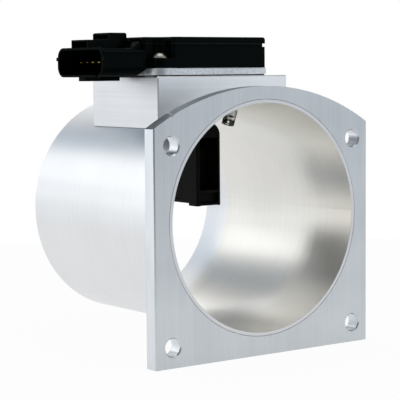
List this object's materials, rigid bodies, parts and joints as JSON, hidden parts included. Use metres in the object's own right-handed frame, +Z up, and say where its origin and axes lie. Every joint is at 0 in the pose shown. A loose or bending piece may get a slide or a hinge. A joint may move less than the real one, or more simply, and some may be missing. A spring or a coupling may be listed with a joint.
{
  "type": "mass airflow sensor",
  "caption": "Machined tube with a square bolt-on inlet flange and a black plug-in air sensor on a pad, its probe hanging in the bore.",
  "frame": {"origin": "on the bore axis at the front face of the inlet flange", "axes": "+Y along the bore from the inlet flange to the outlet, +Z up towards the sensor module, +X to the right of a viewer who faces the flange"},
  "size_m": [0.1166, 0.108, 0.139],
  "materials": {
    "machined_aluminium": "turned and milled, bare",
    "cast_aluminium": "die cast, bare",
    "black_moulding": "glass-filled moulded plastic",
    "gasket_rubber": "smooth rubber",
    "sealant": "cured sealant",
    "zinc_steel": "bright zinc plate",
    "gold_plate": "gold-plated brass",
    "sensor_steel": "stainless steel",
    "ceramic": "white ceramic",
    "chip_resin": "moulded resin",
    "glass_coat": "glass coating",
    "resin": "potting resin"
  },
  "bodies": {
    "root": {"housing_tube": "machined_aluminium", "flange_plate": "machined_aluminium", "sensor_pad": "machined_aluminium", "module_gasket": "gasket_rubber", "module_base_plate": "cast_aluminium", "electronics_housing": "black_moulding", "lid_seal": "sealant", "lid": "black_moulding", "connector_pins": "gold_plate", "board_glue": "sealant", "circuit_board": "ceramic", "board_chips": "chip_resin", "bond_wires": "zinc_steel", "module_screws": "zinc_steel", "ear_bushes": "zinc_steel", "probe_body": "black_moulding", "probe_cover": "black_moulding", "probe_o_ring": "gasket_rubber", "element_posts": "sensor_steel", "hot_element": "ceramic", "cold_element": "ceramic", "air_temp_sleeve": "sensor_steel", "air_temp_insulator": "resin", "air_temp_bead": "glass_coat", "air_temp_leads": "sensor_steel"}
  },
  "joints": []
}
